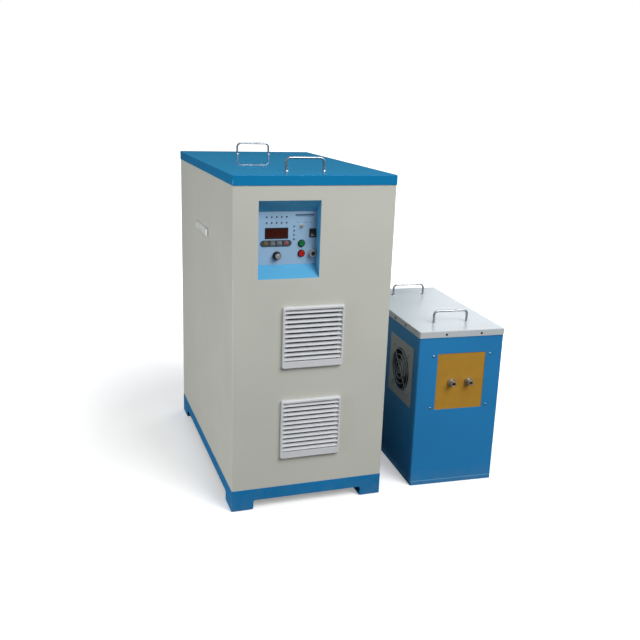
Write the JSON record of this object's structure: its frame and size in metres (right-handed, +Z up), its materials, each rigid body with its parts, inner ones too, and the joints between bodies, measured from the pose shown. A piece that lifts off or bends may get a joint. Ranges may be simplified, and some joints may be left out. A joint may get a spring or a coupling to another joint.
{
  "type": "intermediate frequency generator",
  "caption": "Induction heating generator: tall cabinet with lift-off lid, control pan and fan grilles, and a low heat station with output terminals.",
  "frame": {"origin": "on the floor, under the middle of the set's bounding box", "axes": "+Z up, +Y from the operator's front to the rear, +X to the operator's right"},
  "size_m": [1.016, 0.9898, 1.149],
  "materials": {
    "plinth_blue": "semi-gloss blue powder coat",
    "galvanised": "zinc-plated sheet",
    "cabinet_grey": "fine-textured warm grey powder coat",
    "lid_blue": "glossy blue stove enamel",
    "chrome": "polished chrome plate",
    "grip_white": "moulded white plastic",
    "grille_plastic": "moulded pale grey plastic",
    "filter_fleece": "filter fleece",
    "fan_black": "moulded black plastic",
    "rotor_black": "moulded black plastic",
    "pan_blue": "glossy blue stove enamel",
    "panel_film": "printed film over a metal plate, bare of text",
    "display_red": "dark red display filter",
    "key_bed": "moulded grey plastic",
    "key_ochre": "silicone key",
    "key_grey": "silicone key",
    "key_red": "silicone key",
    "knob_black": "ribbed black plastic, spun metal cap",
    "button_green": "translucent green lens",
    "button_red": "translucent red lens",
    "ring_black": "moulded black plastic",
    "switch_black": "moulded black plastic",
    "nickel": "nickel plate",
    "lamp_lens": "unlit lamp lens",
    "circuit_board": "green solder mask",
    "cold_aluminium": "milled",
    "module_black": "power module case",
    "capacitor_blue": "sleeved can",
    "choke_varnish": "varnished laminations and winding",
    "contactor_grey": "moulded case",
    "brass": "turned",
    "gland_black": "polyamide",
    "copper": "copper studs on an insulating board",
    "station_blue": "semi-gloss blue powder coat",
    "station_lid_grey": "pale grey powder coat",
    "epoxy_board": "ochre epoxy glass laminate",
    "terminal_metal": "tinned brass",
    "dark_screws": "blackened steel",
    "fan_plate_grey": "grey powder coat",
    "guard_chrome": "chromed wire",
    "ferrite": "ferrite core and winding",
    "film_capacitor": "resin case"
  },
  "bodies": {
    "root": {"plinth": "plinth_blue", "floor_tray": "galvanised", "front_panel": "cabinet_grey", "left_side_panel": "cabinet_grey", "right_side_panel": "cabinet_grey", "rear_panel": "cabinet_grey", "side_grip_left": "grip_white", "side_grip_right": "grip_white", "grille_upper": "grille_plastic", "grille_lower": "grille_plastic", "filter_mats": "filter_fleece", "fan_housings": "fan_black", "control_recess": "pan_blue", "control_panel": "panel_film", "display_window": "display_red", "key_strip": "key_bed", "button_rings": "ring_black", "rocker_frame": "switch_black", "toggle_bush": "nickel", "remote_socket": "nickel", "indicator_lamps": "lamp_lens", "control_board": "circuit_board", "equipment_plate": "galvanised", "cooling_plate": "cold_aluminium", "power_modules": "module_black", "capacitor_bank": "capacitor_blue", "choke": "choke_varnish", "contactor": "contactor_grey", "water_fittings": "brass", "cable_glands": "gland_black", "link_terminals": "copper", "station_base": "station_blue", "station_front": "station_blue", "station_left": "station_blue", "station_right": "station_blue", "station_rear": "station_blue", "station_lid": "station_lid_grey", "station_handles": "chrome", "terminal_board": "epoxy_board", "output_terminals": "terminal_metal", "station_screws": "dark_screws", "fan_plate": "fan_plate_grey", "fan_guard": "guard_chrome", "station_fan_housing": "fan_black", "output_transformer": "ferrite", "resonance_capacitors": "film_capacitor"},
    "lid": {"top_lid": "lid_blue", "lid_handles": "chrome"},
    "upper_rotor": {"fan_rotor_upper": "rotor_black"},
    "lower_rotor": {"fan_rotor_lower": "rotor_black"},
    "station_rotor": {"station_fan_rotor": "rotor_black"},
    "knob": {"power_knob": "knob_black"},
    "start": {"start_button": "button_green"},
    "stop": {"stop_button": "button_red"},
    "rocker": {"power_rocker": "switch_black"},
    "toggle": {"mode_toggle": "chrome"},
    "key_one": {"key_1": "key_ochre"},
    "key_two": {"key_2": "key_grey"},
    "key_three": {"key_3": "key_grey"},
    "key_four": {"key_4": "key_red"}
  },
  "joints": [
    {"name": "lid_lift", "type": "slide", "parent": "root", "child": "lid", "axis": [0, 0, 1], "range_m": [0, 0.12]},
    {"name": "upper_fan_spin", "type": "hinge", "parent": "root", "child": "upper_rotor", "pos_m": [-0.23306, -0.4305, 0.59198], "axis": [0, 1, 0], "continuous": true},
    {"name": "lower_fan_spin", "type": "hinge", "parent": "root", "child": "lower_rotor", "pos_m": [-0.23306, -0.4305, 0.278], "axis": [0, 1, 0], "continuous": true},
    {"name": "station_fan_spin", "type": "hinge", "parent": "root", "child": "station_rotor", "pos_m": [0.19649, -0.31086, 0.39], "axis": [0.9984, -0.0558, 0], "continuous": true},
    {"name": "knob_turn", "type": "hinge", "parent": "root", "child": "knob", "pos_m": [-0.34756, -0.441, 0.851], "axis": [0, -1, 0], "range_deg": [-150, 150]},
    {"name": "start_press", "type": "slide", "parent": "root", "child": "start", "axis": [0, 1, 0], "range_m": [0, 0.0035], "stiffness_N_per_m": 500},
    {"name": "stop_press", "type": "slide", "parent": "root", "child": "stop", "axis": [0, 1, 0], "range_m": [0, 0.0035], "stiffness_N_per_m": 500},
    {"name": "rocker_tilt", "type": "hinge", "parent": "root", "child": "rocker", "pos_m": [-0.23156, -0.441, 0.92], "axis": [1, 0, 0], "range_deg": [0, 14]},
    {"name": "toggle_flip", "type": "hinge", "parent": "root", "child": "toggle", "pos_m": [-0.26706, -0.441, 0.944], "axis": [-1, 0, 0], "range_deg": [0, 24]},
    {"name": "key_one_press", "type": "slide", "parent": "root", "child": "key_one", "axis": [0, 1, 0], "range_m": [0, 0.0012], "stiffness_N_per_m": 800},
    {"name": "key_two_press", "type": "slide", "parent": "root", "child": "key_two", "axis": [0, 1, 0], "range_m": [0, 0.0012], "stiffness_N_per_m": 800},
    {"name": "key_three_press", "type": "slide", "parent": "root", "child": "key_three", "axis": [0, 1, 0], "range_m": [0, 0.0012], "stiffness_N_per_m": 800},
    {"name": "key_four_press", "type": "slide", "parent": "root", "child": "key_four", "axis": [0, 1, 0], "range_m": [0, 0.0012], "stiffness_N_per_m": 800}
  ]
}
